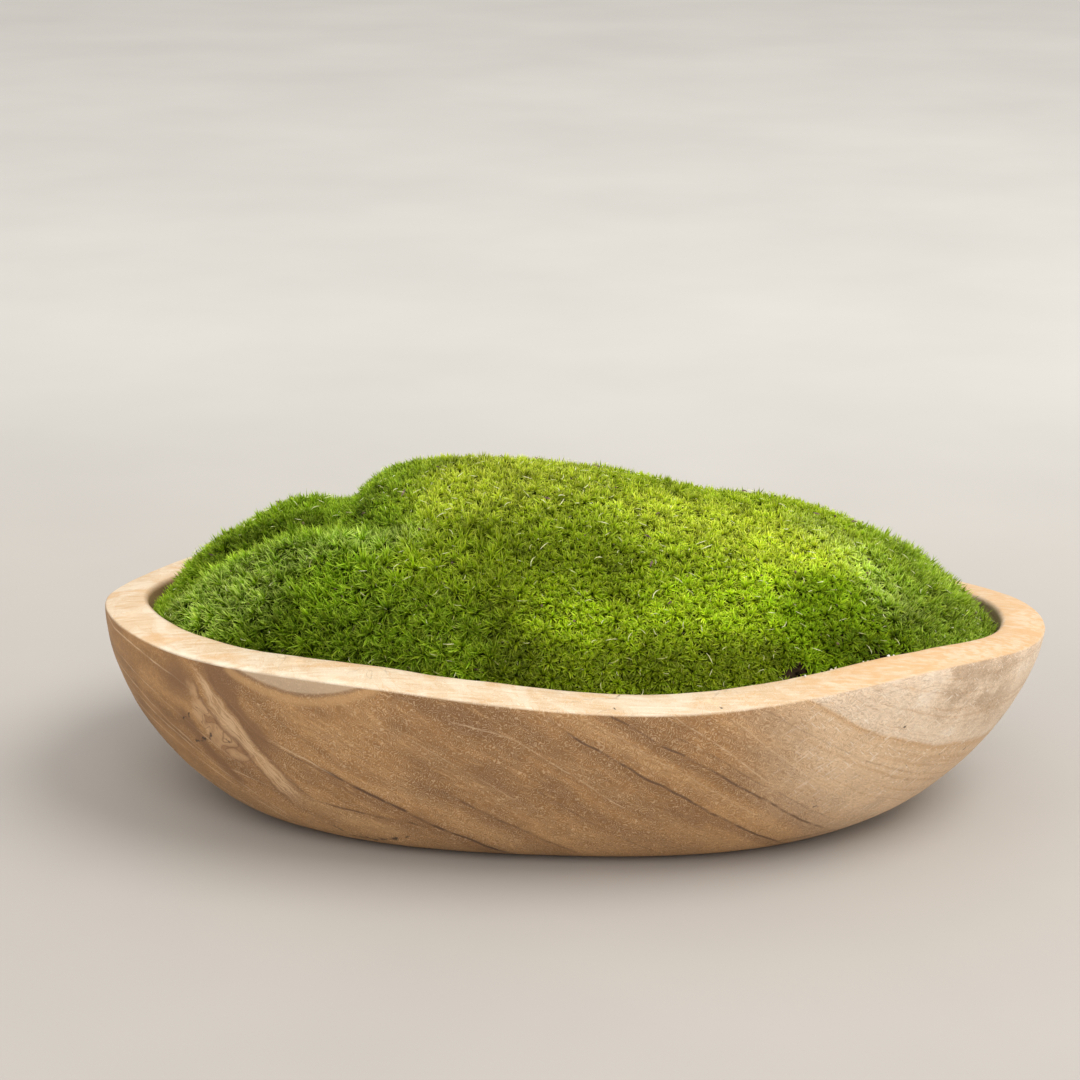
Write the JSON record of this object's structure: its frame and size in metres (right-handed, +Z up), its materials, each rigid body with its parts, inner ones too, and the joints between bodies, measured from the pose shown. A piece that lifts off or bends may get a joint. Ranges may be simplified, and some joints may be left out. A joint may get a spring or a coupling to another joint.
{
  "type": "moss bowl garden",
  "caption": "Oval bowl carved from one block of wood, filled with a soil mound that is covered edge to edge with cushions of living moss.",
  "frame": {"origin": "middle of the object's length and width, at the level of the surface that the bowl stands on", "axes": "+X along the bowl's length, towards its pale end; +Y towards the back, away from the camera; +Z up"},
  "size_m": [0.3988, 0.2412, 0.1397],
  "materials": {
    "wood": "hand-carved hardwood, sanded and lightly oiled, with a pale sapwood end and dark growth rings",
    "soil": "dark, moist and crumbly peat soil, matte",
    "moss": "dense living cushion moss of short upright leafy shoots, bright yellow-green"
  },
  "bodies": {
    "root": {"bowl": "wood", "soil": "soil", "moss_back_left": "moss", "moss_front_left": "moss", "moss_fold": "moss", "moss_crown": "moss", "moss_right_end": "moss"}
  },
  "joints": []
}
